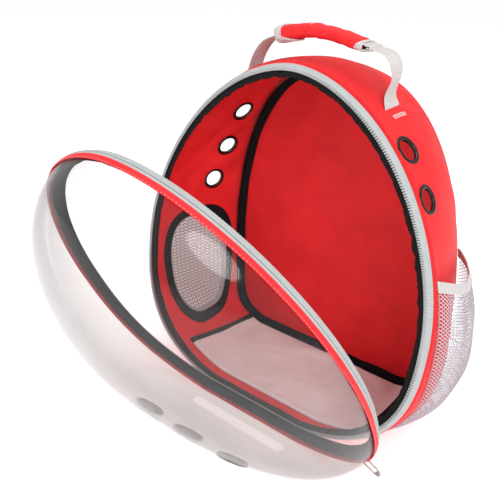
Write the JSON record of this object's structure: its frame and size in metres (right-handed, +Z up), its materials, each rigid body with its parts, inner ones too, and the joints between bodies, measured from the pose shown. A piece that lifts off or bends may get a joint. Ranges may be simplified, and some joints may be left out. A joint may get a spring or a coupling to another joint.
{
  "type": "bubble pet carrier backpack",
  "caption": "Backpack for carrying a small pet, with a clear domed cover that opens on its foot, airing eyelets, a mesh window, a side pocket and a padded carry handle.",
  "frame": {"origin": "middle of the flat base, on the floor", "axes": "+Z up the bag, -Y out of the opening toward the cover, +X to the bag's right seen from the front"},
  "size_m": [0.4207, 0.4165, 0.4539],
  "materials": {
    "red_fabric": "coated woven polyester, soft sheen, faint creases",
    "black_tape": "woven binding tape, matt",
    "pale_tape": "woven zip tape, light grey",
    "zip_teeth": "moulded coil, light grey",
    "red_piping": "smooth bright red edging",
    "pale_web": "ribbed webbing, off white",
    "mat_pile": "short pile, pale pinkish white",
    "knit_mesh": "open knitted net, light grey",
    "eyelet_metal": "dark enamelled ring, half gloss",
    "vent_metal": "dark metal ring and woven wire",
    "clear_cover": "clear polished sheet",
    "zip_metal": "bright zip slider and pull",
    "strap_plastic": "black moulded buckle"
  },
  "bodies": {
    "bag": {"side_wall": "red_fabric", "back_panel": "red_fabric", "back_binding": "black_tape", "floor_mat": "mat_pile", "window_binding": "black_tape", "window_mesh": "knit_mesh", "vent_left_1": "eyelet_metal", "vent_left_2": "eyelet_metal", "vent_left_3": "eyelet_metal", "vent_right_1": "eyelet_metal", "vent_right_2": "eyelet_metal", "front_teeth": "zip_teeth", "front_tape": "pale_tape", "front_piping": "red_piping", "front_binding": "black_tape", "side_pocket": "knit_mesh", "pocket_elastic": "pale_web", "handle_strap_left": "pale_web", "handle_strap_right": "pale_web", "handle_grip": "red_fabric", "handle_keeper": "pale_web", "shoulder_strap_left": "red_fabric", "shoulder_strap_right": "red_fabric", "strap_adjuster_left": "strap_plastic", "strap_adjuster_right": "strap_plastic", "strap_web_left": "black_tape", "strap_web_right": "black_tape"},
    "cover": {"dome": "clear_cover", "dome_vent_ring_1": "vent_metal", "dome_vent_ring_2": "vent_metal", "dome_vent_ring_3": "vent_metal", "dome_vent_mesh_1": "vent_metal", "dome_vent_mesh_2": "vent_metal", "dome_vent_mesh_3": "vent_metal", "cover_teeth": "zip_teeth", "cover_tape": "pale_tape", "cover_binding": "black_tape", "cover_band": "red_piping", "zip_slider": "zip_metal", "zip_pull": "zip_metal"}
  },
  "joints": [
    {"name": "cover_hinge", "type": "hinge", "parent": "bag", "child": "cover", "pos_m": [0, -0.08726, 0.01826], "axis": [-1, 0, 0], "range_deg": [0, 33.73]}
  ]
}
